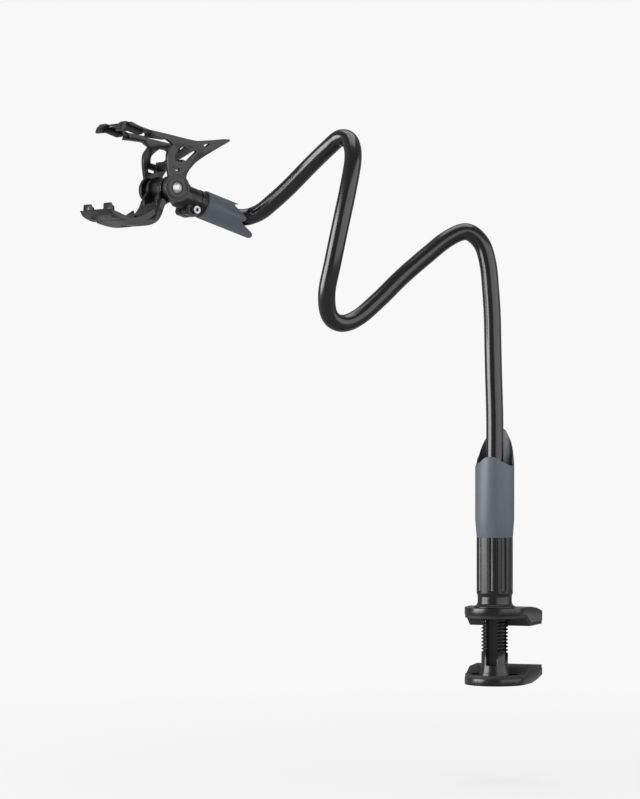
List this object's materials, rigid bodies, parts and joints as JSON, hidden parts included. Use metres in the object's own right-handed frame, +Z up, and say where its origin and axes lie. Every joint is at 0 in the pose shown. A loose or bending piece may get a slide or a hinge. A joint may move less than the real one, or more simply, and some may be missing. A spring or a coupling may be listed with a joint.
{
  "type": "gooseneck phone holder",
  "caption": "Phone holder with a table clamp: a slotted post with two jaws, a fluted grip nut, a bendable arm and a sprung phone clip on a tilting swivel head.",
  "frame": {"origin": "middle of the clamping face of the lower jaw, where it meets the underside of the table", "axes": "+Z up along the post, +Y over the table, X along the table edge"},
  "size_m": [0.3702, 0.2048, 0.4877],
  "materials": {
    "black_plastic": "satin moulded",
    "pad_rubber": "fine matt",
    "slate_plastic": "fine matt",
    "gloss_skin": "smooth glossy",
    "core_metal": "drawn",
    "bright_steel": "plated",
    "dark_steel": "blackened"
  },
  "bodies": {
    "base": {"lower_jaw": "black_plastic", "lower_pad": "pad_rubber", "threaded_post": "black_plastic", "post_screws": "bright_steel", "arm_pin": "bright_steel", "gooseneck_core": "core_metal", "gooseneck_skin": "gloss_skin", "head_ferrule": "black_plastic", "ferrule_screw": "bright_steel", "head_sleeve": "slate_plastic"},
    "clamp_slider": {"upper_jaw": "black_plastic", "upper_pad": "pad_rubber", "grip_collar": "black_plastic", "thrust_washer": "bright_steel"},
    "grip": {"grip_nut": "black_plastic", "base_sleeve": "slate_plastic"},
    "swivel": {"swivel_barrel": "black_plastic", "clamp_bolt": "bright_steel", "clamp_nut": "dark_steel"},
    "holder": {"holder_arm": "black_plastic", "lower_claw_pads": "pad_rubber", "hinge_pin": "bright_steel", "hinge_cap": "bright_steel", "friction_washers": "bright_steel", "torsion_springs": "bright_steel"},
    "lever": {"clip_lever": "black_plastic", "upper_claw_pads": "pad_rubber"}
  },
  "joints": [
    {"name": "jaw_slide", "type": "slide", "parent": "base", "child": "clamp_slider", "axis": [0, 0, 1], "range_m": [-0.03, 0.039]},
    {"name": "grip_spin", "type": "hinge", "parent": "clamp_slider", "child": "grip", "pos_m": [0, -0.035, 0.08], "axis": [0, 0, 1], "range_deg": [-3600, 4680]},
    {"name": "swivel", "type": "hinge", "parent": "base", "child": "swivel", "pos_m": [-0.26536, -0.10133, 0.41215], "axis": [-0.5822, -0.7587, 0.2924], "continuous": true},
    {"name": "tilt", "type": "hinge", "parent": "swivel", "child": "holder", "pos_m": [-0.277, -0.1165, 0.418], "axis": [-0.7934, 0.6088, 0], "range_deg": [-50, 15]},
    {"name": "lever", "type": "hinge", "parent": "holder", "child": "lever", "pos_m": [-0.277, -0.1165, 0.418], "axis": [-0.7934, 0.6088, 0], "range_deg": [0, 22], "stiffness_Nm_per_rad": 0.78, "springref_deg": -21.77}
  ],
  "couplings": [
    {"joint": "grip_spin", "follows": "jaw_slide", "rad_per_m": 2094.4}
  ]
}
